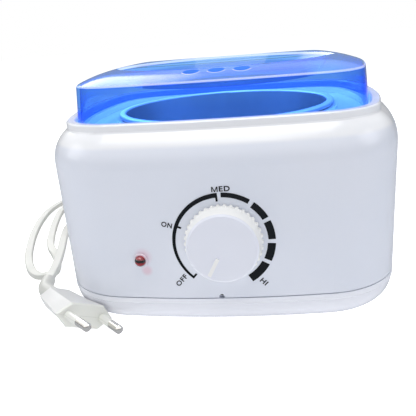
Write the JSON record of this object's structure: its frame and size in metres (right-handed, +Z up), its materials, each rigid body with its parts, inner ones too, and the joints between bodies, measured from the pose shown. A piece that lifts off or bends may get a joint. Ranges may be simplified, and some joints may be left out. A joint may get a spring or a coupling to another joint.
{
  "type": "wax heater",
  "caption": "Rounded square table-top wax heater with a lift-out pot, a see-through lid with a dished grip, a dial knob, a pilot lamp and a mains cord with plug.",
  "frame": {"origin": "on the table under the middle of the housing and knob outline, cord and plug left out", "axes": "+Z up, the dial and knob face -Y, the cord leaves the back wall towards +Y"},
  "size_m": [0.2416, 0.2683, 0.1138],
  "materials": {
    "housing_white": "glossy",
    "knob_white": "satin",
    "lid_blue": "glossy, see-through",
    "pot_aluminium": "satin",
    "lamp_red": "glossy, see-through",
    "cord_white": "matte",
    "pin_metal": "nickel plated, polished",
    "steel": "satin",
    "seal_silicone": "matte",
    "glass_fibre": "woven",
    "fuse_case": "glossy",
    "inner_plastic": "matte",
    "wire_insulation": "matte",
    "foot_rubber": "matte"
  },
  "bodies": {
    "heater": {"upper_housing": "housing_white", "base_pan": "housing_white", "lamp_bezel": "housing_white", "heating_bowl": "pot_aluminium", "heater_plate": "pot_aluminium", "lamp_lens": "lamp_red", "mains_cord": "cord_white", "cord_tail": "cord_white", "strain_relief": "cord_white", "plug_relief": "cord_white", "plug_body": "cord_white", "plug_sleeves": "cord_white", "plug_pins": "pin_metal", "thermostat_tabs": "pin_metal", "terminal_screws": "pin_metal", "heat_shield": "steel", "heater_studs": "steel", "heater_nuts": "steel", "bowl_screws": "steel", "base_screws": "steel", "clamp_screws": "steel", "fuse_clip": "steel", "heater_element": "steel", "thermostat_body": "steel", "thermostat_nut": "steel", "thermostat_washer": "steel", "bowl_seal": "seal_silicone", "insulation_sleeve": "glass_fibre", "thermal_fuse": "fuse_case", "terminal_block": "inner_plastic", "cord_clamp": "inner_plastic", "cord_saddle": "inner_plastic", "lamp_body": "inner_plastic", "cord_cores": "wire_insulation", "live_wire": "wire_insulation", "switched_wire": "wire_insulation", "return_wires": "wire_insulation", "lamp_wires": "wire_insulation", "rubber_feet": "foot_rubber"},
    "pot": {"wax_pot": "pot_aluminium"},
    "lid": {"lid": "lid_blue"},
    "knob": {"knob": "knob_white", "thermostat_shaft": "steel"}
  },
  "joints": [
    {"name": "knob_turn", "type": "hinge", "parent": "heater", "child": "knob", "pos_m": [0.002, -0.07, 0.0432], "axis": [0, 1, 0], "range_deg": [0, 295]},
    {"name": "pot_lift", "type": "slide", "parent": "heater", "child": "pot", "axis": [0, 0, 1], "range_m": [0, 0.1]},
    {"name": "lid_lift", "type": "slide", "parent": "pot", "child": "lid", "axis": [0, 0, 1], "range_m": [0, 0.06]}
  ]
}
